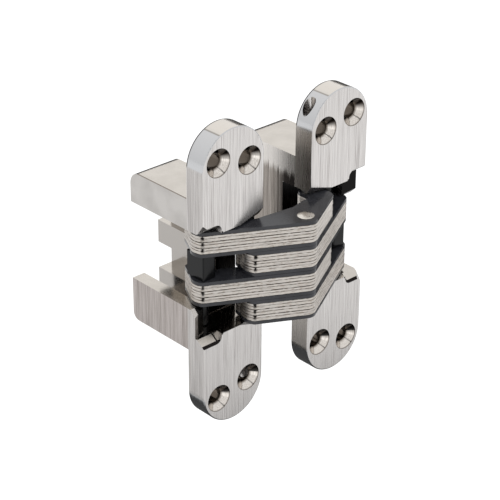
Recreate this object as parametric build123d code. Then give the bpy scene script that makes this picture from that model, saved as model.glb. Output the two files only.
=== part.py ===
from build123d import *
import os
from math import radians, tan

# Concealed door hinge with two leaves and a crossed pair of laminated links.
# Origin midway between the leaves, on their face plane, at mid height.
# X runs to the right leaf, Y into the wood, Z up.
# The hinge stands as photographed, open flat at 180 degrees.
# The left leaf is built first; the right one is the same casting turned half round the Y axis.

# Face plates of a leaf
LEAF_W = 28.6                 # standard width, 1 1/8 inch
LEAF_H = 117.5                # standard height, 4 5/8 inch
LEAF_GAP = 23.6               # between the leaves when the hinge is open flat
PLATE_T = 8.4
PLATE_EDGE_R = 0.4            # softened rim of the face
LIP_Z = 20.35                 # half height of the opening at the face
LIP_DEPTH = 3.2
CEILING_Z = 21.2              # half height of the opening behind the lip
X_OUT = -(LEAF_GAP / 2 + LEAF_W)
X_IN = -LEAF_GAP / 2
X_MID = (X_OUT + X_IN) / 2
END_R = LEAF_W / 2
END_Z = LEAF_H / 2 - END_R

# Screw holes for countersunk number 12 wood screws
SCREW_R = 3.0
SINK_R = 5.4
SINK_ANGLE = 82.0
SINK_DEPTH = (SINK_R - SCREW_R) / tan(radians(SINK_ANGLE / 2))
OUTER_SCREW_X = X_OUT + 7.3
OUTER_SCREW_Z = 47.4
INNER_SCREW_X = X_OUT + 21.7
INNER_SCREW_Z = 44.2

# Corner cuts of the plates beside the opening
SCOOP_X = -31.7               # inner end of the scoop that clears the head of the centre pin
SCOOP_FACE_Z = 23.95
SCOOP_BEND_Y = 0.9            # a steeper first strip of the slope, then the floor
SCOOP_BEND_Z = 23.1
SCOOP_DEPTH = 3.6
SCOOP_FLOOR_Z = 21.25
SCOOP_CORNER_R = 2.6
NOTCH_Z = 25.75               # extra cut of the outer corner, on the upper plate only
NOTCH_X = 1.9
NOTCH_Y = 3.1
RELIEF_FACE_Z = 23.8          # sloping cut at the inner corner
RELIEF_FACE_X = 11.0
RELIEF_DEPTH = 2.5

# Bodies behind the plates
BLOCK_BACK = 39.2
BLOCK_END_Z = 33.5
BLOCK_EDGE_R = 5.0
BLOCK_SOFT = 0.5
ROOT_Y = 5.0                  # the bodies start inside the plate
UPPER_BLOCK_X = -21.3         # inner side of the upper block
LOWER_BLOCK_X = -32.75        # outer side of the lower block
WALL_X = -34.9                # inner side of the outer wall
WALL_TOP_Z = -10.2
WALL_FLOOR_Z = -27.3
WALL_BACK = 39.4
WALL_FRONT_OUT = 4.6
WALL_FRONT_IN = 6.4
WALL_BACK_R = 3.0
WALL_CUT = 2.5                # chamfer on the front end of the wall
CORE_FRONT = 14.7             # inner mass of the pocket
CORE_WIDE_X = -27.8           # beside the levels of the short arm
CORE_NARROW_X = -21.6         # beside the levels of the long arm
CORE_STEP = 0.4               # the wide levels stand back by this from the long arm
WEB_TOP_Z = 24.0

# Link stacks: three steel plates between two dark facings
STEEL_T = 2.4
FACING_T = 1.3
STACK_T = 3 * STEEL_T + 2 * FACING_T
STACK_GAP = 0.1
LEVEL = STACK_T + STACK_GAP
STEEL_EDGE = 0.13             # broken edge of each steel plate
UPPER_STACK_Z = LEVEL + STACK_GAP / 2
MIDDLE_STACK_Z = -LEVEL + STACK_GAP / 2
LINK_APEX_R = 4.0
LINK_CORNER_R = 0.5

# Plan of a link, as corners and swelling points round its edge
LINK_APEX = (0.0, -14.8)
SHORT_CORNER = (19.4, -4.05)
SHORT_SWELL = (20.55, -0.6)
LOBE_START = (18.9, 4.1)
LOBE_TOP = (15.1, 8.85)
LOBE_END = (11.7, 4.9)
NECK = (11.6, 0.4)
BACK_BEND = (7.4, 0.0)
BACK_LOW = (1.8, -1.2)
ARM_START = (-11.9, 0.6)
ARM_CURVE = (-16.5, 2.1)
ARM_BEND = (-18.6, 5.6)
PAD_FOOT = (-26.6, 9.8)
PAD_IN = (-26.9, 16.6)
PAD_TOP = (-29.6, 19.4)
PAD_OUT = (-32.4, 19.2)
LONG_HOLLOW = (-34.5, 15.0)
LONG_EASE = (-36.2, 11.8)
LONG_SWELL = (-37.4, 8.4)
LONG_CORNER = (-36.3, 5.15)

# Pins and pivots
CENTRE_Y = -9.5
CENTRE_PIN_R = 2.5
CENTRE_HEAD_R = 3.1
CENTRE_HEAD_GAP = 0.06
CENTRE_HEAD_RIM = 0.3
CENTRE_HEAD_DOME = 0.55
CENTRE_TAIL = 0.55
PIVOT_X = 15.2
PIVOT_Y = 5.3
PIVOT_PIN_R = 2.0
PIVOT_PIN_END = 26.0
PIVOT_BORE_END = 27.0
ACCESS_R = 2.35               # drilled from the rounded end of one plate
SLIDE_X = -31.35
SLIDE_Y = 12.0
SLIDE_PIN_R = 2.0
SLIDE_PIN_TOP = 22.6
SET_CLEARANCE = 0.02          # pin in a part that it doesn't turn in
RUN_CLEARANCE = 0.05          # pin in a part that turns on it
BUSH_R = 2.9
BUSH_GAP = 0.1

# Curved groove in the ceiling of the pocket, for the upper end of the slide pin
FOLD_ANGLE = 120.0            # turn of the short arm on its pivot from open to closed
GROOVE_R = 2.5
GROOVE_TOP_Z = 23.0

# Sliding shoe and roller
SHOE_OUT = 4.45
SHOE_IN = 3.25
SHOE_FRONT = 6.8
SHOE_BACK = 2.3
SHOE_CUT_X = 2.1              # slanting inner front corner
SHOE_CUT_Y = 2.3
SHOE_GAP = 0.1
SHOE_EDGE = 0.4
ROLLER_R = 3.1
ROLLER_GAP = 0.3
ROLLER_TOP_Z = -10.15
ROLLER_EDGE = 0.3


def block(x0, x1, y0, y1, z0, z1):
    """Box between two corners."""
    return Pos((x0 + x1) / 2, (y0 + y1) / 2, (z0 + z1) / 2) * Box(x1 - x0, y1 - y0, z1 - z0)


def rod(x, y, r, z0, z1):
    """Upright round bar."""
    return Pos(x, y, (z0 + z1) / 2) * Cylinder(r, z1 - z0)


def bar_in(x, z, r, y0, y1):
    """Round bar that runs into the wood."""
    return Pos(x, (y0 + y1) / 2, z) * Rot(90, 0, 0) * Cylinder(r, y1 - y0)


def prism(points, z0, z1):
    """Upright prism on a plan outline."""
    outline = make_face(Polyline(points, close=True))
    return Pos(0, 0, z0) * extrude(outline, amount=z1 - z0)


def edges_near(shape, axis, **place):
    """Edges along an axis whose middles lie at the given coordinates."""
    found = shape.edges().filter_by(axis)
    for name, value in place.items():
        found = found.filter_by(lambda e, n=name, v=value: abs(getattr(e.center(), n) - v) < 0.01)
    return found


def half_turn(shape):
    """The same piece for the other leaf or link, turned half round the Y axis."""
    return Rot(0, 180, 0) * shape


def screw_hole(x, z):
    """Through hole with a countersink at the face."""
    hole = bar_in(x, z, SCREW_R, -1, PLATE_T + 1)
    sink = Pos(x, SINK_DEPTH / 2, z) * Rot(90, 0, 0) * Cone(SCREW_R, SINK_R, SINK_DEPTH)
    return hole + sink


def scoop():
    """Sloping pocket at the outer corner of the plate, open to the side and to the opening."""
    rise = (SCOOP_FACE_Z - SCOOP_BEND_Z) / SCOOP_BEND_Y
    slope = [(-1, SCOOP_FACE_Z + rise), (SCOOP_BEND_Y, SCOOP_BEND_Z), (SCOOP_DEPTH, SCOOP_FLOOR_Z)]
    section = slope + [(SCOOP_DEPTH, LIP_Z - 1), (-1, LIP_Z - 1)]
    wedge = extrude(Plane.YZ * make_face(Polyline(section, close=True)), amount=2 * X_OUT)
    guard = block(X_OUT - 1, SCOOP_X, -2, SCOOP_DEPTH + 1, LIP_Z - 2, SCOOP_FACE_Z)
    guard = fillet(edges_near(guard, Axis.Y, X=SCOOP_X, Z=SCOOP_FACE_Z), SCOOP_CORNER_R)
    return wedge & guard


def slanting_cut(on_side, on_lip, in_depth):
    """Everything in front of the plane through three points."""
    outward = (on_lip - on_side).cross(in_depth - on_side)
    if outward.Y > 0:
        outward = -outward
    low = (Align.CENTER, Align.CENTER, Align.MIN)
    return Plane(origin=on_side, z_dir=outward) * Box(LEAF_H, LEAF_H, LEAF_W, align=low)


def relief():
    """Slanting cut across the inner corner of the plate."""
    on_side = Vector(X_IN, 0, RELIEF_FACE_Z)
    on_lip = Vector(X_IN - RELIEF_FACE_X, 0, LIP_Z)
    in_depth = Vector(X_IN, RELIEF_DEPTH, LIP_Z)
    return slanting_cut(on_side, on_lip, in_depth)


def notch():
    """Small slanting cut that takes the outer corner off above the scoop."""
    on_side = Vector(X_OUT, 0, NOTCH_Z)
    on_scoop = Vector(X_OUT + NOTCH_X, 0, SCOOP_FACE_Z)
    in_depth = Vector(X_OUT, NOTCH_Y, SCOOP_FLOOR_Z)
    return slanting_cut(on_side, on_scoop, in_depth)


def face_plate():
    """Upper face plate, with its rounded end, screw holes and corner cuts."""
    body = block(X_OUT, X_IN, 0, PLATE_T, LIP_Z, END_Z) + bar_in(X_MID, END_Z, END_R, 0, PLATE_T)
    rim = body.edges().filter_by(lambda e: abs(e.center().Y) < 0.01 and e.center().Z > LIP_Z + 0.01)
    body = fillet(rim, PLATE_EDGE_R)
    body -= block(X_OUT - 1, X_IN + 1, LIP_DEPTH, PLATE_T + 1, LIP_Z - 1, CEILING_Z)
    body -= scoop()
    body -= relief()
    body -= screw_hole(OUTER_SCREW_X, OUTER_SCREW_Z)
    body -= screw_hole(INNER_SCREW_X, INNER_SCREW_Z)
    return body


def turn_about(x, y, degrees):
    """Turn about an upright axis."""
    return Pos(x, y, 0) * Rot(0, 0, degrees) * Pos(-x, -y, 0)


def slide_path():
    """Plan of the way that the slide pin takes from open to closed."""
    spots = []
    for step in range(7):
        fold = FOLD_ANGLE * step / 6
        arm = turn_about(-PIVOT_X, PIVOT_Y, -fold) * turn_about(0, CENTRE_Y, fold / 2)
        spot = (arm * Pos(SLIDE_X, SLIDE_Y, 0)).position
        spots.append((spot.X, spot.Y))
    return spots


def groove():
    """Groove for the upper end of the slide pin, round at both ends."""
    spots = slide_path()
    floor = trace(Spline(*spots), line_width=2 * GROOVE_R)
    body = Pos(0, 0, CEILING_Z - 1) * extrude(floor, amount=GROOVE_TOP_Z - CEILING_Z + 1)
    for x, y in (spots[0], spots[-1]):
        body += rod(x, y, GROOVE_R, CEILING_Z - 1, GROOVE_TOP_Z)
    return body


def upper_block():
    """Outer block behind the upper plate, over the pocket of the long arm."""
    body = block(X_OUT, UPPER_BLOCK_X, ROOT_Y, BLOCK_BACK, CEILING_Z, BLOCK_END_Z)
    body = fillet(edges_near(body, Axis.X, Y=BLOCK_BACK, Z=BLOCK_END_Z), BLOCK_EDGE_R)
    return body - groove()


def lower_block():
    """Inner block behind the lower plate, under the guide channel."""
    body = block(LOWER_BLOCK_X, X_IN, ROOT_Y, BLOCK_BACK, -BLOCK_END_Z, -CEILING_Z)
    return fillet(edges_near(body, Axis.X, Y=BLOCK_BACK, Z=-BLOCK_END_Z), BLOCK_EDGE_R)


def outer_wall():
    """Wall along the outer side of the guide channel, with the floor that carries it."""
    plan = [(X_OUT, WALL_FRONT_OUT), (WALL_X, WALL_FRONT_IN), (WALL_X, WALL_BACK), (X_OUT, WALL_BACK)]
    wall = prism(plan, WALL_FLOOR_Z, WALL_TOP_Z)
    lead = [(WALL_FRONT_OUT - 1, WALL_TOP_Z - 1 - WALL_CUT), (WALL_FRONT_OUT - 1, WALL_TOP_Z + 1)]
    lead += [(WALL_FRONT_OUT + WALL_CUT + 1, WALL_TOP_Z + 1)]
    wall -= Pos(X_OUT - 1, 0, 0) * extrude(Plane.YZ * make_face(Polyline(lead, close=True)), amount=10)
    body = wall + block(X_OUT, LOWER_BLOCK_X + 1, ROOT_Y, WALL_BACK, WALL_FLOOR_Z, -CEILING_Z)
    return fillet(edges_near(body, Axis.X, Y=WALL_BACK, Z=WALL_FLOOR_Z), WALL_BACK_R)


def core():
    """Inner mass of the pocket, stepped back at the two levels of the long arm."""
    narrow = block(CORE_NARROW_X, X_IN, CORE_FRONT, WALL_BACK, -CEILING_Z, WEB_TOP_Z)
    middle = block(CORE_WIDE_X, X_IN, CORE_FRONT, WALL_BACK, CORE_STEP, LEVEL - CORE_STEP)
    lower = block(CORE_WIDE_X, X_IN, CORE_FRONT, WALL_BACK, -CEILING_Z - 1, -LEVEL - CORE_STEP)
    web = block(CORE_NARROW_X, X_IN, ROOT_Y, WALL_BACK, CEILING_Z, WEB_TOP_Z)
    return narrow + middle + lower + web


def leaf():
    """Left leaf casting with its bores."""
    body = face_plate() - notch() + mirror(face_plate(), Plane.XY)
    body += upper_block()
    body += lower_block()
    body += outer_wall()
    body += core()
    body -= rod(-PIVOT_X, PIVOT_Y, PIVOT_PIN_R + SET_CLEARANCE, -PIVOT_BORE_END, PIVOT_PIN_END + 0.2)
    body -= rod(-PIVOT_X, PIVOT_Y, ACCESS_R, -LEAF_H / 2, -PIVOT_BORE_END)
    return body


def link_outline():
    """Plan of a link: long arm to the left, short arm to the right, apex towards the front."""
    line = Line(LINK_APEX, SHORT_CORNER)
    line += ThreePointArc(SHORT_CORNER, SHORT_SWELL, LOBE_START)
    line += ThreePointArc(LOBE_START, LOBE_TOP, LOBE_END)
    line += Polyline(LOBE_END, NECK, BACK_BEND, BACK_LOW, ARM_START)
    line += ThreePointArc(ARM_START, ARM_CURVE, ARM_BEND)
    line += Polyline(ARM_BEND, PAD_FOOT, PAD_IN)
    line += ThreePointArc(PAD_IN, PAD_TOP, PAD_OUT)
    line += ThreePointArc(PAD_OUT, LONG_HOLLOW, LONG_EASE)
    line += ThreePointArc(LONG_EASE, LONG_SWELL, LONG_CORNER)
    line += Line(LONG_CORNER, LINK_APEX)
    face = make_face(line)
    face = fillet(face.vertices().sort_by(Axis.Y)[0], LINK_APEX_R)
    corners = face.vertices().filter_by(lambda v: abs(v.X) > 5 and v.Y > -10)
    return fillet(corners, LINK_CORNER_R)


def link_layer(z0, thickness, broken_edge):
    """One plate of a link stack, with its three holes."""
    body = Pos(0, 0, z0) * extrude(link_outline(), amount=thickness)
    if broken_edge:
        rims = body.faces().sort_by(Axis.Z)[0].outer_wire().edges()
        rims += body.faces().sort_by(Axis.Z)[-1].outer_wire().edges()
        body = chamfer(rims, STEEL_EDGE)
    body -= rod(PIVOT_X, PIVOT_Y, PIVOT_PIN_R + RUN_CLEARANCE, z0 - 1, z0 + thickness + 1)
    body -= rod(SLIDE_X, SLIDE_Y, SLIDE_PIN_R + SET_CLEARANCE, z0 - 1, z0 + thickness + 1)
    return body


def link_stack(base_z, centre_hole_r):
    """The two facings and three steel plates of one stack, lowest first."""
    layers = []
    z = base_z
    for kind in ("facing", "steel", "steel", "steel", "facing"):
        thickness = STEEL_T if kind == "steel" else FACING_T
        layer = link_layer(z, thickness, kind == "steel")
        layer -= rod(0, CENTRE_Y, centre_hole_r, z - 1, z + thickness + 1)
        layers.append(layer)
        z += thickness
    return layers


def centre_pin():
    """Rivet through both links, with a low domed head on top and a small peened tail."""
    low = -LEVEL - STACK_T - STACK_GAP / 2
    head_z = UPPER_STACK_Z + STACK_T + CENTRE_HEAD_GAP
    shank = rod(0, CENTRE_Y, CENTRE_PIN_R, low - CENTRE_TAIL, head_z)
    rim = rod(0, CENTRE_Y, CENTRE_HEAD_R, head_z, head_z + CENTRE_HEAD_RIM)
    ball_r = (CENTRE_HEAD_R ** 2 + CENTRE_HEAD_DOME ** 2) / (2 * CENTRE_HEAD_DOME)
    top_z = head_z + CENTRE_HEAD_RIM
    ball = Pos(0, CENTRE_Y, top_z + CENTRE_HEAD_DOME - ball_r) * Sphere(ball_r)
    dome = ball & rod(0, CENTRE_Y, CENTRE_HEAD_R, top_z, top_z + CENTRE_HEAD_DOME + 1)
    tail = shank.edges().filter_by(GeomType.CIRCLE).sort_by(Axis.Z)[0]
    shank = chamfer(tail, 0.35)
    return shank + rim + dome


def pivot_pin():
    """Plain pin on which the short arm turns, let in through the drilled end of the plate."""
    pin = rod(-PIVOT_X, PIVOT_Y, PIVOT_PIN_R, -PIVOT_PIN_END, PIVOT_PIN_END)
    return chamfer(pin.edges().filter_by(GeomType.CIRCLE), 0.3)


def slide_pin():
    """Pin through the end of the long arm, with its top in the curved groove."""
    pin = rod(SLIDE_X, SLIDE_Y, SLIDE_PIN_R, MIDDLE_STACK_Z, SLIDE_PIN_TOP)
    return chamfer(pin.edges().filter_by(GeomType.CIRCLE), 0.3)


def pivot_bush(z0, z1):
    """Spacer tube on the pivot pin, beside the short arm."""
    tube = rod(-PIVOT_X, PIVOT_Y, BUSH_R, z0, z1)
    return tube - rod(-PIVOT_X, PIVOT_Y, PIVOT_PIN_R + SET_CLEARANCE, z0 - 1, z1 + 1)


def slide_shoe():
    """Block on the slide pin, between the two stacks of the long arm."""
    z0 = STACK_GAP / 2 + SHOE_GAP
    z1 = z0 + STACK_T - 2 * SHOE_GAP
    x0 = SLIDE_X - SHOE_OUT
    x1 = SLIDE_X + SHOE_IN
    y0 = SLIDE_Y - SHOE_FRONT
    y1 = SLIDE_Y + SHOE_BACK
    body = prism([(x0, y0), (x1 - SHOE_CUT_X, y0), (x1, y0 + SHOE_CUT_Y), (x1, y1), (x0, y1)], z0, z1)
    body = chamfer(body.edges().filter_by(Axis.Z), SHOE_EDGE)
    return body - rod(SLIDE_X, SLIDE_Y, SLIDE_PIN_R + RUN_CLEARANCE, z0 - 1, z1 + 1)


def guide_roller():
    """Roller that runs along the lower channel of the leaf."""
    body = rod(SLIDE_X, SLIDE_Y, ROLLER_R, -CEILING_Z + ROLLER_GAP, ROLLER_TOP_Z)
    return chamfer(body.edges().filter_by(GeomType.CIRCLE), ROLLER_EDGE)


def hinge_parts():
    """Every node by name, in the photographed pose."""
    parts = {}
    left = {
        "leaf_casting": leaf(),
        "pivot_pin": pivot_pin(),
        "pivot_bush_upper": pivot_bush(UPPER_STACK_Z, LIP_Z - BUSH_GAP),
        "pivot_bush_middle": pivot_bush(MIDDLE_STACK_Z, MIDDLE_STACK_Z + STACK_T),
        "slide_pin": slide_pin(),
        "slide_shoe": slide_shoe(),
        "guide_roller": guide_roller(),
    }
    for name, shape in left.items():
        parts[name + "_left"] = shape
        parts[name + "_right"] = half_turn(shape)
    layer_names = ["facing_bottom", "steel_1", "steel_2", "steel_3", "facing_top"]
    for stack, base_z in (("upper", UPPER_STACK_Z), ("lower", MIDDLE_STACK_Z)):
        for name, shape in zip(layer_names, link_stack(base_z, CENTRE_PIN_R + RUN_CLEARANCE)):
            parts[f"link_a_{stack}_{name}"] = shape
    turned_names = ["facing_top", "steel_3", "steel_2", "steel_1", "facing_bottom"]
    for stack, base_z in (("lower", UPPER_STACK_Z), ("upper", MIDDLE_STACK_Z)):
        for name, shape in zip(turned_names, link_stack(base_z, CENTRE_PIN_R + SET_CLEARANCE)):
            parts[f"link_b_{stack}_{name}"] = half_turn(shape)
    parts["centre_pin"] = centre_pin()
    return parts


os.makedirs("parts", exist_ok=True)
for part_name, part_shape in hinge_parts().items():
    export_step(part_shape, f"parts/{part_name}.step")
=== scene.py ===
import bpy
from mathutils import Matrix, Vector

# Concealed door hinge, open flat at 180 degrees, on a plain white studio sweep.

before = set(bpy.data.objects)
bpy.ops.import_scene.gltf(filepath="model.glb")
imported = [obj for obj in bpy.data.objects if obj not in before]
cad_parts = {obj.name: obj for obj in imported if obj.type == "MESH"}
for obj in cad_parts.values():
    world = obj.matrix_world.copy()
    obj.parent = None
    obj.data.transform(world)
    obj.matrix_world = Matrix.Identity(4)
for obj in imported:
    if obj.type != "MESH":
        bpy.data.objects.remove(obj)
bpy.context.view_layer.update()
scene = bpy.context.scene
scene.view_settings.view_transform = "Standard"


# Sizes of the hinge that the materials follow, in metres
PLATE_BACK = 0.0086             # 0.2 mm behind the back of the face plates
END_START = 0.044               # just before the plates' round ends, which start at 44.45 mm
POCKET_TOP = 0.0209             # just inside the ceiling of the pocket, at 21.2 mm
FAR_SCREW = (0.0331, 0.0, 0.0474)
NEAR_SCREW = (0.0187, 0.0, 0.0442)
SCREW_R = 0.0030
SINK_R = 0.0054                 # rim of the countersinks
# Heights in the links, in millimetres: a stack with its gap, a steel plate, a facing
STACK_MM = 9.9
PLATE_MM = 2.4
FACING_MM = 1.3


def linear(hex_colour):
    """Linear RGBA of an sRGB hex colour."""
    channels = [int(hex_colour[i:i + 2], 16) / 255 for i in (1, 3, 5)]
    return [c / 12.92 if c <= 0.04045 else ((c + 0.055) / 1.055) ** 2.4 for c in channels] + [1.0]


def add(tree, kind, settings=None, links=None, steps=None):
    """One shader node with its settings, the nodes or outputs that feed its inputs, and a ramp's
    colours. A node feeds its first output in use. A ramp's first two colours are its ends, and the
    rest come between them."""
    node = tree.nodes.new("ShaderNode" + kind)
    for name, value in (settings or {}).items():
        if isinstance(name, str) and hasattr(node, name):
            setattr(node, name, value)
        else:
            node.inputs[name].default_value = value
    for name, source in (links or {}).items():
        if isinstance(source, bpy.types.Node):
            source = next(output for output in source.outputs if output.enabled)
        tree.links.new(source, node.inputs[name])
    for index, (place, colour) in enumerate(steps or []):
        stops = node.color_ramp.elements
        stop = stops[index] if index < 2 else stops.new(place)
        stop.position = place
        stop.color = linear(colour)
    return node


def new_material(name):
    """Empty material with its output node, ready for a shader."""
    material = bpy.data.materials.new(name)
    material.use_nodes = True
    material.node_tree.nodes.clear()
    output = material.node_tree.nodes.new("ShaderNodeOutputMaterial")
    return material, material.node_tree, output


def cells(x, y, z):
    """Mapping scale for noise whose cells measure so many millimetres along X, Y and Z."""
    return [1000.0 / x, 1000.0 / y, 1000.0 / z]


def brushed_satin_nickel():
    """Die-cast zinc under satin nickel. The plates, the leaf's inner side and the lower outer wall
    are linished in long upright strokes. Level tops, the rounded ends and the other outer sides stay
    as cast and smoother, the tops painted lighter and creamier as light, the sides darker as shade. The
    screw holes are brown inside from thin plating and painted shade; the inner side carries painted
    shade in streaks, and the pocket is painted black as shade."""
    material, tree, output = new_material("brushed satin nickel plate")
    coordinates = add(tree, "TexCoord")
    point = coordinates.outputs["Object"]
    facing = add(tree, "SeparateXYZ", None, {"Vector": coordinates.outputs["Normal"]})
    place = add(tree, "SeparateXYZ", None, {"Vector": point})
    across = add(tree, "Math", {"operation": "ABSOLUTE"}, {0: place.outputs["X"]})
    upward = add(tree, "Math", {"operation": "ABSOLUTE"}, {0: place.outputs["Z"]})
    # level surfaces, the rounded ends, and the outer sides behind the plates, more than 20 mm from
    # the middle, are as cast
    level = add(tree, "Math", {"operation": "ABSOLUTE"}, {0: facing.outputs["Z"]})
    flat = add(tree, "MapRange", {"From Min": 0.55, "From Max": 0.85}, {"Value": level})
    ends = add(tree, "Math", {"operation": "GREATER_THAN", 1: END_START}, {0: upward})
    curve = add(tree, "MapRange", {"From Min": 0.05, "From Max": 0.1}, {"Value": level})
    rounded = add(tree, "Math", {"operation": "MULTIPLY"}, {0: ends, 1: curve})
    outer = add(tree, "Math", {"operation": "GREATER_THAN", 1: 0.020}, {0: across})
    deep = add(tree, "Math", {"operation": "GREATER_THAN", 1: PLATE_BACK}, {0: place.outputs["Y"]})
    body = add(tree, "Math", {"operation": "MULTIPLY"}, {0: outer, 1: deep})
    # except the outer wall, more than 39.5 mm from the middle and below -9 mm, which is linished
    outermost = add(tree, "Math", {"operation": "GREATER_THAN", 1: 0.0395}, {0: across})
    below = add(tree, "Math", {"operation": "LESS_THAN", 1: -0.009}, {0: place.outputs["Z"]})
    wall = add(tree, "Math", {"operation": "MULTIPLY"}, {0: outermost, 1: below})
    wall = add(tree, "Math", {"operation": "MULTIPLY"}, {0: wall, 1: deep})
    body = add(tree, "Math", {"operation": "SUBTRACT"}, {0: body, 1: wall})
    cast = add(tree, "Math", {"operation": "MAXIMUM"}, {0: flat, 1: body})
    cast = add(tree, "Math", {"operation": "MAXIMUM"}, {0: cast, 1: rounded})
    # belt strokes in cells 0.4 mm wide and 50 mm long, and hair strokes in cells 0.24 mm wide and
    # 12 mm long; real ones are about 0.1 mm wide, and these are drawn coarser so that they show
    strokes = add(tree, "Mapping", {"Scale": cells(0.4, 0.4, 50.0)}, {"Vector": point})
    stroke = add(tree, "TexNoise", {"Scale": 1.0, "Detail": 3.0, "Roughness": 0.55},
                 {"Vector": strokes})
    hairs = add(tree, "Mapping", {"Scale": cells(0.24, 0.24, 12.0)}, {"Vector": point})
    hair = add(tree, "TexNoise", {"Scale": 1.0, "Detail": 1.0}, {"Vector": hairs})
    # broad soft clouds in the casting, about 8 mm
    clouds = add(tree, "Mapping", {"Scale": cells(8.0, 8.0, 8.0)}, {"Vector": point})
    cloud = add(tree, "TexNoise", {"Scale": 1.0, "Detail": 2.0}, {"Vector": clouds})
    hair_part = add(tree, "Math", {"operation": "MULTIPLY", 1: 0.35}, {0: hair})
    grain = add(tree, "Math", {"operation": "MULTIPLY_ADD", 1: 0.65}, {0: stroke, 2: hair_part})
    brushed = add(tree, "ValToRGB", None, {"Fac": grain},
                  [(0.36, "#9A9593"), (0.66, "#D1CECC"), (0.44, "#BAB7B5"), (0.56, "#C7C4C2")])
    # the as-cast tops are painted lighter and creamier than the as-cast sides: painted light and
    # painted shade
    tops = add(tree, "ValToRGB", None, {"Fac": cloud}, [(0.35, "#CDC7BF"), (0.65, "#D7D1C9")])
    sides = add(tree, "ValToRGB", None, {"Fac": cloud}, [(0.35, "#A7A4A1"), (0.65, "#B3B0AD")])
    # the outer sides are painted a little darker within 20.9 mm of the middle height, as painted shade
    low = add(tree, "Math", {"operation": "LESS_THAN", 1: POCKET_TOP}, {0: upward})
    sides = add(tree, "Mix", {"data_type": "RGBA", 7: linear("#A19D99")}, {0: low, 6: sides})
    smooth = add(tree, "Mix", {"data_type": "RGBA"}, {0: flat, 6: sides, 7: tops})
    # painted light and shade on the rounded ends: a bluish grey at the sides, past a painted dark
    # shading line, to cream at the top
    dome = add(tree, "ValToRGB", None, {"Fac": level},
               [(0.1, "#B9BABC"), (0.95, "#DFD9D1"), (0.885, "#CDCDCE"), (0.90, "#948E87"),
                (0.915, "#DAD5CE")])
    smooth = add(tree, "Mix", {"data_type": "RGBA"}, {0: rounded, 6: smooth, 7: dome})
    # the sharp back edge of the rounded ends, the last 0.4 mm of the plate, is painted dark as a shadow
    # line
    rear = add(tree, "MapRange", {"From Min": 0.0079, "From Max": 0.0081},
               {"Value": place.outputs["Y"]})
    rear = add(tree, "Math", {"operation": "MULTIPLY"}, {0: rear, 1: rounded})
    smooth = add(tree, "Mix", {"data_type": "RGBA", 7: linear("#2A2725")}, {0: rear, 6: smooth})
    # the leaf's inner sides, less than 19 mm from the middle, are browner and more deeply scored
    nearby = add(tree, "Math", {"operation": "LESS_THAN", 1: 0.019}, {0: across})
    aside = add(tree, "Math", {"operation": "ABSOLUTE"}, {0: facing.outputs["X"]})
    sideways = add(tree, "Math", {"operation": "GREATER_THAN", 1: 0.9}, {0: aside})
    inner = add(tree, "Math", {"operation": "MULTIPLY"}, {0: nearby, 1: sideways})
    scored = add(tree, "ValToRGB", None, {"Fac": grain},
                 [(0.38, "#857E78"), (0.62, "#B4ADA7"), (0.47, "#989189"), (0.54, "#A39C96")])
    # behind the plate they are a plain light grey more than about 25 mm above or below the middle, and
    # nearer it carry painted shade in ragged upright streaks, darkest within about 14 mm of the face;
    # the plates' own inner sides are a third of the way to the plain light grey all over
    streak_height = add(tree, "Math", {"operation": "MULTIPLY_ADD", 1: 0.010}, {0: stroke, 2: upward})
    under = add(tree, "MapRange", {"From Min": 0.0315, "From Max": 0.029}, {"Value": streak_height})
    unshaded_inner = add(tree, "Math", {"operation": "SUBTRACT"}, {0: deep, 1: under})
    plate_unshaded = add(tree, "Math", {"operation": "MULTIPLY_ADD", 1: -0.35, 2: 0.35}, {0: deep})
    unshaded_inner = add(tree, "Math", {"operation": "MAXIMUM"}, {0: unshaded_inner, 1: plate_unshaded})
    streak_depth = add(tree, "Math", {"operation": "MULTIPLY_ADD", 1: 0.006},
                       {0: stroke, 2: place.outputs["Y"]})
    streak_depth = add(tree, "MapRange",
                       {"From Min": 0.0225, "From Max": 0.0165, "To Min": 0.25, "To Max": 0.95},
                       {"Value": streak_depth})
    painted_inner_shade = add(tree, "Math", {"operation": "MULTIPLY"}, {0: under, 1: streak_depth})
    painted_inner_shade = add(tree, "Math", {"operation": "MULTIPLY"}, {0: painted_inner_shade, 1: deep})
    scored = add(tree, "Mix", {"data_type": "RGBA", 7: linear("#CBC7C3")}, {0: unshaded_inner, 6: scored})
    scored = add(tree, "Mix", {"data_type": "RGBA", 7: linear("#2A2422")}, {0: painted_inner_shade, 6: scored})
    # the plates' outer sides are painted a little darker than their faces as shade, and the outer wall
    # is browner
    rim = add(tree, "Math", {"operation": "MULTIPLY"}, {0: outer, 1: sideways})
    shaded_plate_sides = add(tree, "ValToRGB", None, {"Fac": grain}, [(0.36, "#989492"), (0.64, "#C2BFBD")])
    faces = add(tree, "Mix", {"data_type": "RGBA"}, {0: rim, 6: brushed, 7: shaded_plate_sides})
    brown_wall_and_lit_arm = add(tree, "ValToRGB", None, {"Fac": grain},
               [(0.36, "#817A76"), (0.64, "#B3ACA9"), (0.46, "#9D9692"), (0.55, "#A8A19E")])
    faces = add(tree, "Mix", {"data_type": "RGBA"}, {0: wall, 6: faces, 7: brown_wall_and_lit_arm})
    linished_faces = add(tree, "Mix", {"data_type": "RGBA"}, {0: inner, 6: faces, 7: scored})
    colour = add(tree, "Mix", {"data_type": "RGBA"}, {0: cast, 6: linished_faces, 7: smooth})
    # the corner between the top and the outer side of each body, 33.5 and 40.4 mm out, carries a
    # painted brown shading line 0.25 mm wide
    crest = add(tree, "Math", {"operation": "GREATER_THAN", 1: 0.03325}, {0: upward})
    corner = add(tree, "Math", {"operation": "GREATER_THAN", 1: 0.04015}, {0: across})
    for part in (corner, deep):
        crest = add(tree, "Math", {"operation": "MULTIPLY"}, {0: crest, 1: part})
    colour = add(tree, "Mix", {"data_type": "RGBA", 7: linear("#7D746C")}, {0: crest, 6: colour})
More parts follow.
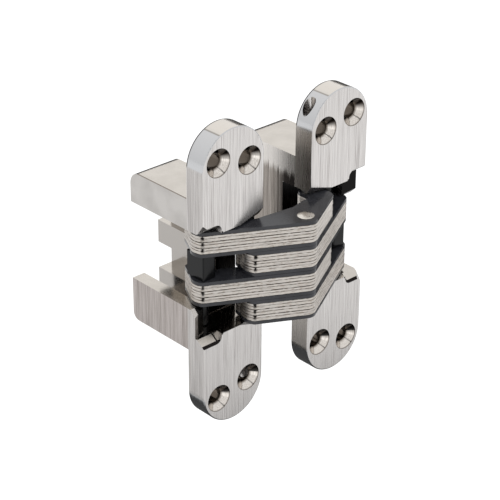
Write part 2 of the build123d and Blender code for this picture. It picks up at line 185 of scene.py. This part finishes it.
    # the steep first strip of each scoop, 23.1 to 24 mm from the middle, is painted dark as shade
    strip = add(tree, "Math", {"operation": "COMPARE", 1: 0.02355, 2: 0.0005}, {0: upward})
    slope = add(tree, "Math", {"operation": "GREATER_THAN", 1: 0.6}, {0: level})
    front = add(tree, "Math", {"operation": "LESS_THAN", 1: 0.001}, {0: place.outputs["Y"]})
    far = add(tree, "Math", {"operation": "GREATER_THAN", 1: 0.031}, {0: across})
    for part in (slope, front, far):
        strip = add(tree, "Math", {"operation": "MULTIPLY"}, {0: strip, 1: part})
    # and so is a fold in its curved inner end, 33.4 mm from the middle, as a painted shadow line
    fold = add(tree, "Math", {"operation": "COMPARE", 1: 0.0334, 2: 0.0003}, {0: across})
    scoop = add(tree, "Math", {"operation": "COMPARE", 1: 0.0222, 2: 0.0019}, {0: upward})
    lean = add(tree, "Math", {"operation": "GREATER_THAN", 1: 0.2}, {0: level})
    shallow = add(tree, "Math", {"operation": "LESS_THAN", 1: 0.0037}, {0: place.outputs["Y"]})
    for part in (scoop, lean, shallow):
        fold = add(tree, "Math", {"operation": "MULTIPLY"}, {0: fold, 1: part})
    strip = add(tree, "Math", {"operation": "MAXIMUM"}, {0: strip, 1: fold})
    colour = add(tree, "Mix", {"data_type": "RGBA", 7: linear("#211E1D")}, {0: strip, 6: colour})
    # the screw holes are brown inside, partly from thin plating and partly as painted shade
    spot = add(tree, "CombineXYZ", None, {0: across, 2: upward})
    far_hole = add(tree, "VectorMath", {"operation": "DISTANCE", 1: FAR_SCREW}, {0: spot})
    near_hole = add(tree, "VectorMath", {"operation": "DISTANCE", 1: NEAR_SCREW}, {0: spot})
    hole = add(tree, "Math", {"operation": "MINIMUM"}, {0: far_hole, 1: near_hole})
    bore = add(tree, "MapRange", {"From Min": SCREW_R + 0.0006, "From Max": SCREW_R + 0.00005},
               {"Value": hole})
    # the countersinks slant at 41 degrees to their axis and are turned bright
    slanting = add(tree, "Math", {"operation": "COMPARE", 1: -0.65, 2: 0.2}, {0: facing.outputs["Y"]})
    sink = add(tree, "Math", {"operation": "LESS_THAN", 1: SINK_R + 0.0002}, {0: hole})
    sink = add(tree, "Math", {"operation": "MULTIPLY"}, {0: sink, 1: slanting})
    bright_sink = add(tree, "ValToRGB", None, {"Fac": hair}, [(0.38, "#C6BFB8"), (0.62, "#E0DBD5")])
    colour = add(tree, "Mix", {"data_type": "RGBA"}, {0: sink, 6: colour, 7: bright_sink})
    # with a painted brown shading line round the rim, 0.3 mm wide
    sink_rim = add(tree, "MapRange",
                   {"From Min": SINK_R - 0.0004, "From Max": SINK_R - 0.0001, "To Max": 0.85},
                   {"Value": hole})
    sink_rim = add(tree, "Math", {"operation": "MULTIPLY"}, {0: sink_rim, 1: sink})
    colour = add(tree, "Mix", {"data_type": "RGBA", 7: linear("#544B44")}, {0: sink_rim, 6: colour})
    # their upper halves, which look down, are painted dark as shade
    downward = add(tree, "MapRange", {"From Min": 0.10, "From Max": -0.32},
                   {"Value": facing.outputs["Z"]})
    painted_sink_shade = add(tree, "Math", {"operation": "MULTIPLY"}, {0: sink, 1: downward})
    colour = add(tree, "Mix", {"data_type": "RGBA", 7: linear("#37312D")}, {0: painted_sink_shade, 6: colour})
    # inside the pocket, what faces forward is painted black as shade, less than 34.8 mm from the middle
    # and more than 6 mm behind the face; so are the wall's front ends inside their outer 2 mm, and the
    # whole front end on the right leaf
    forward = add(tree, "Math", {"operation": "LESS_THAN", 1: -0.5}, {0: facing.outputs["Y"]})
    inside = add(tree, "Math", {"operation": "LESS_THAN", 1: 0.0348}, {0: across})
    behind = add(tree, "Math", {"operation": "GREATER_THAN", 1: 0.006}, {0: place.outputs["Y"]})
    pocket = forward
    for part in (inside, behind, low):
        pocket = add(tree, "Math", {"operation": "MULTIPLY"}, {0: pocket, 1: part})
    beside = add(tree, "Math", {"operation": "GREATER_THAN", 1: 0.031}, {0: across})
    inward = add(tree, "Math", {"operation": "GREATER_THAN", 1: -0.0385}, {0: place.outputs["X"]})
    wall_end = forward
    for part in (beside, inward, low):
        wall_end = add(tree, "Math", {"operation": "MULTIPLY"}, {0: wall_end, 1: part})
    # painted shade in the pocket and on the wall's front ends
    black = add(tree, "Math", {"operation": "MAXIMUM"}, {0: pocket, 1: wall_end})
    holed = add(tree, "Mix", {"data_type": "RGBA", 7: linear("#5E564E")}, {0: bore, 6: colour})
    colour_with_pocket_shade = add(tree, "Mix", {"data_type": "RGBA", 7: linear("#1C1B1B")}, {0: black, 6: holed})
    rough_brushed = add(tree, "MapRange",
                        {"From Min": 0.35, "From Max": 0.65, "To Min": 0.32, "To Max": 0.22},
                        {"Value": grain})
    rough_cast = add(tree, "MapRange",
                     {"From Min": 0.3, "From Max": 0.7, "To Min": 0.14, "To Max": 0.19},
                     {"Value": cloud})
    rough = add(tree, "Mix", {"data_type": "FLOAT"}, {0: cast, 2: rough_brushed, 3: rough_cast})
    turned = add(tree, "Mix", {"data_type": "FLOAT", 3: 0.12}, {0: sink, 2: rough})
    even = add(tree, "Math", {"operation": "MAXIMUM"}, {0: cast, 1: sink})
    linished = add(tree, "Math", {"operation": "SUBTRACT", 0: 1.0}, {1: even})
    height = add(tree, "Math", {"operation": "MULTIPLY"}, {0: grain, 1: linished})
    bump = add(tree, "Bump", {"Strength": 0.25, "Distance": 0.00003}, {"Height": height})
    shader = add(tree, "BsdfPrincipled", {"Metallic": 1.0},
                 {"Base Color": colour_with_pocket_shade, "Roughness": turned, "Normal": bump})
    tree.links.new(shader.outputs["BSDF"], output.inputs["Surface"])
    return material


def stamped_link_steel():
    """Bright mild steel, stamped. The edge of each 2.4 mm plate shows a dark seam against the next
    plate, a broken line where the shear turned to a tear, and painted shade at each corner of the link.
    The short arm of the upper link of each pair carries few lines, as painted light."""
    material, tree, output = new_material("stamped link steel")
    point = add(tree, "TexCoord").outputs["Object"]
    place = add(tree, "SeparateXYZ", None, {"Vector": point})
    # the stacks repeat every 9.9 mm from 0.05 mm above the middle, with a facing below the first
    # plate, and each line along the plates wavers by up to 0.15 mm in cells 1.6 mm long
    wobble_cells = add(tree, "Mapping", {"Scale": cells(1.6, 1.6, 0.5)}, {"Vector": point})
    wobble = add(tree, "TexNoise", {"Scale": 1.0, "Detail": 2.0}, {"Vector": wobble_cells})
    height_mm = add(tree, "Math", {"operation": "MULTIPLY_ADD", 1: 1000.0, 2: 4 * STACK_MM - 0.05},
                    {0: place.outputs["Z"]})
    above_facing = add(tree, "Math", {"operation": "SUBTRACT", 1: FACING_MM}, {0: height_mm})
    in_stack = add(tree, "Math", {"operation": "MODULO", 1: STACK_MM}, {0: above_facing})
    plates = add(tree, "Math", {"operation": "DIVIDE", 1: PLATE_MM}, {0: in_stack})
    waver = add(tree, "Math", {"operation": "MULTIPLY_ADD", 1: 0.12, 2: -0.06}, {0: wobble})
    wavered = add(tree, "Math", {"operation": "ADD"}, {0: plates, 1: waver})
    across = add(tree, "Math", {"operation": "FRACT"}, {0: wavered})
    profile = add(tree, "ValToRGB", None, {"Fac": across},
                  [(0.0, "#2A2420"), (1.0, "#2A2420"), (0.06, "#5C554E"), (0.13, "#C9C4BE"),
                   (0.46, "#BFB9B2"), (0.56, "#3A302A"), (0.67, "#B5AFA8"), (0.70, "#CFCAC5"),
                   (0.88, "#C4BFB9"), (0.95, "#5F5850")])
    # plain burnished edge, with faint lines along the plate in cells 0.4 mm high
    line_cells = add(tree, "Mapping", {"Scale": cells(12.0, 12.0, 0.4)}, {"Vector": point})
    lines = add(tree, "TexNoise", {"Scale": 1.0, "Detail": 3.0, "Roughness": 0.6},
                {"Vector": line_cells})
    plain = add(tree, "ValToRGB", None, {"Fac": lines},
                [(0.34, "#938E88"), (0.66, "#C9C5C0"), (0.45, "#B6B1AC")])
    # the lines break up along the plate in cells 2.4 mm long
    gap_cells = add(tree, "Mapping", {"Scale": cells(2.4, 2.4, 1.2)}, {"Vector": point})
    gaps = add(tree, "TexNoise", {"Scale": 1.0, "Detail": 3.0, "Roughness": 0.65},
               {"Vector": gap_cells})
    kept = add(tree, "MapRange", {"From Min": 0.40, "From Max": 0.54, "To Min": 0.2, "To Max": 1.0},
               {"Value": gaps})
    # every second level is an upper link; its arm to the right of the pin carries few lines, as painted
    # light
    pair = add(tree, "Math", {"operation": "MODULO", 1: 2 * STACK_MM}, {0: height_mm})
    upper = add(tree, "Math", {"operation": "GREATER_THAN", 1: STACK_MM}, {0: pair})
    right = add(tree, "MapRange", {"From Min": 0.0005, "From Max": 0.002},
                {"Value": place.outputs["X"]})
    brown_wall_and_lit_arm = add(tree, "Math", {"operation": "MULTIPLY"}, {0: upper, 1: right})
    lined = add(tree, "Math", {"operation": "MULTIPLY_ADD", 1: -0.8, 2: 1.0}, {0: brown_wall_and_lit_arm})
    kept = add(tree, "Math", {"operation": "MULTIPLY"}, {0: kept, 1: lined})
    colour = add(tree, "Mix", {"data_type": "RGBA"}, {0: kept, 6: plain, 7: profile})
    # the arms to the right of the pin are painted brighter, as painted light
    bright = add(tree, "MapRange",
                 {"From Min": 0.0005, "From Max": 0.002, "To Min": 1.0, "To Max": 1.45},
                 {"Value": place.outputs["X"]})
    colour = add(tree, "VectorMath", {"operation": "SCALE"}, {0: colour, "Scale": bright})
    # brown scratches in cells 1.6 mm long and 0.3 mm high where the punch tore the metal
    speck_cells = add(tree, "Mapping", {"Scale": cells(1.6, 1.6, 0.3)}, {"Vector": point})
    specks = add(tree, "TexNoise", {"Scale": 1.0, "Detail": 2.0}, {"Vector": speck_cells})
    speck = add(tree, "MapRange", {"From Min": 0.54, "From Max": 0.68, "To Max": 0.45},
                {"Value": specks})
    speck = add(tree, "Math", {"operation": "MULTIPLY"}, {0: speck, 1: lined})
    colour = add(tree, "Mix", {"data_type": "RGBA", 7: linear("#83705E")}, {0: speck, 6: colour})
    # ragged spots of painted shade about 0.5 mm round the corners at 36.1 by 5.2 mm and 19.3 by
    # -4.1 mm, blackest in the upper half of a plate
    side = add(tree, "Math", {"operation": "ABSOLUTE"}, {0: place.outputs["X"]})
    spot = add(tree, "CombineXYZ", None, {0: side, 1: place.outputs["Y"]})
    long_end = add(tree, "VectorMath", {"operation": "DISTANCE", 1: (0.0361, 0.0052, 0.0)}, {0: spot})
    short_end = add(tree, "VectorMath", {"operation": "DISTANCE", 1: (0.0193, -0.0041, 0.0)}, {0: spot})
    # an upper link has its long arm to the left of the pin, and a lower link to the right
    left = add(tree, "Math", {"operation": "LESS_THAN", 1: 0.0}, {0: place.outputs["X"]})
    other = add(tree, "Math", {"operation": "COMPARE", 2: 0.5}, {0: left, 1: upper})
    corner = add(tree, "Mix", {"data_type": "FLOAT"}, {0: other, 2: short_end, 3: long_end})
    ragged = add(tree, "Math", {"operation": "MULTIPLY_ADD", 1: 0.0014}, {0: wobble, 2: corner})
    painted_corner_shade = add(tree, "MapRange", {"From Min": 0.0015, "From Max": 0.0010}, {"Value": ragged})
    band = add(tree, "MapRange", {"From Min": 0.25, "From Max": 0.5, "To Min": 0.25}, {"Value": across})
    painted_corner_shade_band = add(tree, "Math", {"operation": "MULTIPLY"}, {0: painted_corner_shade, 1: band})
    marked = add(tree, "Mix", {"data_type": "RGBA", 7: linear("#161514")}, {0: painted_corner_shade_band, 6: colour})
    rough = add(tree, "MapRange", {"From Min": 0.35, "From Max": 0.65, "To Min": 0.52, "To Max": 0.40},
                {"Value": lines})
    relief = add(tree, "Math", {"operation": "MULTIPLY_ADD", 1: 0.5}, {0: lines, 2: gaps})
    bump = add(tree, "Bump", {"Strength": 0.2, "Distance": 0.00004}, {"Height": relief})
    shader = add(tree, "BsdfPrincipled", {"Metallic": 1.0},
                 {"Base Color": marked, "Roughness": rough, "Normal": bump})
    tree.links.new(shader.outputs["BSDF"], output.inputs["Surface"])
    return material


def black_acetal(name, dark, light, sheen):
    """Black acetal bearing plastic, as sheet or moulded: a soft sheen over a fine grain in cells
    0.3 mm across, drawn coarser than the real one, and clouds of 7 mm in its colour and gloss."""
    material, tree, output = new_material(name)
    point = add(tree, "TexCoord").outputs["Object"]
    grains = add(tree, "Mapping", {"Scale": cells(0.3, 0.3, 0.3)}, {"Vector": point})
    grain = add(tree, "TexNoise", {"Scale": 1.0, "Detail": 2.0}, {"Vector": grains})
    clouds = add(tree, "Mapping", {"Scale": cells(7.0, 7.0, 7.0)}, {"Vector": point})
    cloud = add(tree, "TexNoise", {"Scale": 1.0, "Detail": 2.0}, {"Vector": clouds})
    colour = add(tree, "ValToRGB", None, {"Fac": cloud}, [(0.35, dark), (0.65, light)])
    rough = add(tree, "MapRange", {"From Min": 0.3, "From Max": 0.7, "To Min": 0.17, "To Max": 0.24},
                {"Value": cloud})
    bump = add(tree, "Bump", {"Strength": 0.15, "Distance": 0.00003}, {"Height": grain})
    shader = add(tree, "BsdfPrincipled", {"IOR": 1.48, "Specular IOR Level": sheen},
                 {"Base Color": colour, "Roughness": rough, "Normal": bump})
    tree.links.new(shader.outputs["BSDF"], output.inputs["Surface"])
    return material


def ground_pin_steel():
    """Hardened steel pin, ground round: rings across its axis, in cells 0.2 mm high,
    which is coarser than real grinding."""
    material, tree, output = new_material("ground pin steel")
    point = add(tree, "TexCoord").outputs["Object"]
    ring_cells = add(tree, "Mapping", {"Scale": cells(5.0, 5.0, 0.2)}, {"Vector": point})
    rings = add(tree, "TexNoise", {"Scale": 1.0, "Detail": 2.0}, {"Vector": ring_cells})
    colour = add(tree, "ValToRGB", None, {"Fac": rings}, [(0.35, "#8E8C8A"), (0.65, "#C4C2BE")])
    rough = add(tree, "MapRange", {"From Min": 0.35, "From Max": 0.65, "To Min": 0.34, "To Max": 0.22},
                {"Value": rings})
    shader = add(tree, "BsdfPrincipled", {"Metallic": 1.0},
                 {"Base Color": colour, "Roughness": rough})
    tree.links.new(shader.outputs["BSDF"], output.inputs["Surface"])
    return material


def nickel_rivet():
    """Nickel-plated rivet: a turned dome, satin, with a faint tarnish in soft patches of about 3 mm."""
    material, tree, output = new_material("nickel plated rivet")
    point = add(tree, "TexCoord").outputs["Object"]
    patches = add(tree, "Mapping", {"Scale": cells(3.0, 3.0, 3.0)}, {"Vector": point})
    cloud = add(tree, "TexNoise", {"Scale": 1.0, "Detail": 3.0}, {"Vector": patches})
    colour = add(tree, "ValToRGB", None, {"Fac": cloud}, [(0.35, "#CDC7BE"), (0.65, "#E3DED6")])
    rough = add(tree, "MapRange", {"From Min": 0.35, "From Max": 0.65, "To Min": 0.34, "To Max": 0.2},
                {"Value": cloud})
    shader = add(tree, "BsdfPrincipled", {"Metallic": 1.0},
                 {"Base Color": colour, "Roughness": rough})
    tree.links.new(shader.outputs["BSDF"], output.inputs["Surface"])
    return material


def dress(node_name, material):
    """Puts a material on every slot of a CAD node."""
    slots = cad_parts[node_name].data.materials
    if not slots:
        slots.append(material)
    for index in range(len(slots)):
        slots[index] = material


nickel = brushed_satin_nickel()
steel = stamped_link_steel()
sheet = black_acetal("black acetal sheet", "#292A2F", "#3A3B40", 0.45)
moulding = black_acetal("black acetal moulding", "#08090B", "#0F1013", 0.2)
pin_steel = ground_pin_steel()
rivet = nickel_rivet()
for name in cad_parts:
    if name.startswith("leaf_casting"):
        dress(name, nickel)
    elif "steel" in name:
        dress(name, steel)
    elif name == "centre_pin":
        dress(name, rivet)
    elif name.startswith(("pivot_pin", "slide_pin")):
        dress(name, pin_steel)
    elif "facing" in name:
        dress(name, sheet)
    else:
        dress(name, moulding)


def white_floor():
    """Studio sweep below the hinge. It shows white to the camera and keeps a soft shadow."""
    bpy.ops.object.select_all(action="DESELECT")
    bpy.ops.mesh.primitive_plane_add(size=6.0, location=(0, 0, -0.16))
    floor = bpy.context.object
    floor.name = "floor"
    bpy.ops.object.transform_apply(location=True, rotation=True, scale=True)
    material, tree, output = new_material("white paper sweep")
    rays = add(tree, "LightPath").outputs
    # the hinge sees the paper below it in shade, and bright again 0.4 m away
    point = add(tree, "TexCoord").outputs["Object"]
    away = add(tree, "VectorMath", {"operation": "LENGTH"}, {0: point})
    shade = add(tree, "MapRange", {"From Min": 0.05, "From Max": 0.40, "To Min": 0.28, "To Max": 0.88},
                {"Value": away})
    reflected = add(tree, "Math", {"operation": "MULTIPLY"}, {0: rays["Is Glossy Ray"], 1: shade})
    direct = add(tree, "Math", {"operation": "MAXIMUM"},
                 {0: rays["Is Camera Ray"], 1: rays["Is Transmission Ray"]})
    glowing = add(tree, "Math", {"operation": "MULTIPLY_ADD", 1: 0.8}, {0: direct, 2: reflected})
    paper = add(tree, "BsdfDiffuse", {"Color": linear("#C8C8C8")})
    glow = add(tree, "Emission", {"Color": linear("#FFFFFF")}, {"Strength": glowing})
    both = add(tree, "AddShader", None, {0: paper.outputs["BSDF"], 1: glow.outputs["Emission"]})
    tree.links.new(both.outputs["Shader"], output.inputs["Surface"])
    floor.data.materials.append(material)


def dark_flag(name, place, aim, width, height):
    """Card that glows a fixed dark grey as painted light in place of lit felt, and shows only in
    reflections.
    """
    bpy.ops.object.select_all(action="DESELECT")
    bpy.ops.mesh.primitive_plane_add(size=1.0)
    card = bpy.context.object
    card.name = name
    card.scale = (width, height, 1.0)
    card.rotation_euler = (Vector(aim) - Vector(place)).to_track_quat("Z", "Y").to_euler()
    card.location = place
    bpy.ops.object.transform_apply(location=True, rotation=True, scale=True)
    card.visible_camera = False
    card.visible_shadow = False
    card.visible_diffuse = False
    material, tree, output = new_material("dark felt")
    # the card glows a fixed dark grey and is not lit
    glow_card = add(tree, "Emission", {"Color": linear("#505050"), "Strength": 1.0})
    tree.links.new(glow_card.outputs["Emission"], output.inputs["Surface"])
    card.data.materials.append(material)


def studio_world():
    """White surround for the camera and for reflections, with a gentler fill light."""
    world = bpy.data.worlds.new("studio")
    scene.world = world
    world.use_nodes = True
    tree = world.node_tree
    tree.nodes.clear()
    rays = add(tree, "LightPath").outputs
    seen = add(tree, "Math", {"operation": "MAXIMUM"},
               {0: rays["Is Camera Ray"], 1: rays["Is Glossy Ray"]})
    seen = add(tree, "Math", {"operation": "MAXIMUM"}, {0: seen, 1: rays["Is Transmission Ray"]})
    strength = add(tree, "MapRange", {"To Min": 0.45, "To Max": 1.0}, {"Value": seen})
    background = add(tree, "Background", {"Color": linear("#FFFFFF")}, {"Strength": strength})
    output = tree.nodes.new("ShaderNodeOutputWorld")
    tree.links.new(background.outputs["Background"], output.inputs["Surface"])


def soft_box(name, place, aim, width, height, watts):
    """Rectangular studio lamp that faces a point."""
    data = bpy.data.lights.new(name, "AREA")
    data.shape = "RECTANGLE"
    data.size = width
    data.size_y = height
    data.energy = watts
    lamp = bpy.data.objects.new(name, data)
    scene.collection.objects.link(lamp)
    lamp.location = place
    lamp.rotation_euler = (Vector(aim) - Vector(place)).to_track_quat("-Z", "Y").to_euler()
    lamp.visible_glossy = False


def photograph_camera():
    """Camera at the photograph's place: left of the hinge, in front of it and above."""
    right = Vector((0.73366, -0.67948, 0.00665))
    up = Vector((0.31374, 0.34741, 0.88367))
    back = Vector((-0.60275, -0.64623, 0.46806))
    data = bpy.data.cameras.new("camera")
    data.lens = 120.65
    data.sensor_width = 36.0
    camera = bpy.data.objects.new("camera", data)
    scene.collection.objects.link(camera)
    turn = Matrix((right, up, back)).transposed().to_4x4()
    camera.matrix_world = Matrix.Translation((-0.37781, -0.38556, 0.28809)) @ turn
    scene.camera = camera


white_floor()
dark_flag("dark flag behind", (0.18, 0.215, -0.03), (0, 0, -0.02), 0.20, 0.26)
dark_flag("dark flag below", (0.025, 0.07, -0.12), (0.025, 0.07, 0), 0.23, 0.25)
dark_flag("dark flag at the right", (0.149, 0.017, -0.075), (0.01, -0.01, 0), 0.055, 0.055)
dark_flag("dark pole in front", (-0.14, -0.37, 0.30), (0, 0, 0.05), 0.045, 0.5)
studio_world()
soft_box("key", (-0.4, -0.8, 1.0), (0, 0, 0), 1.3, 1.3, 7.0)
soft_box("rear", (0.3, 0.9, 1.0), (0, 0, 0), 0.7, 0.5, 0.8)
photograph_camera()
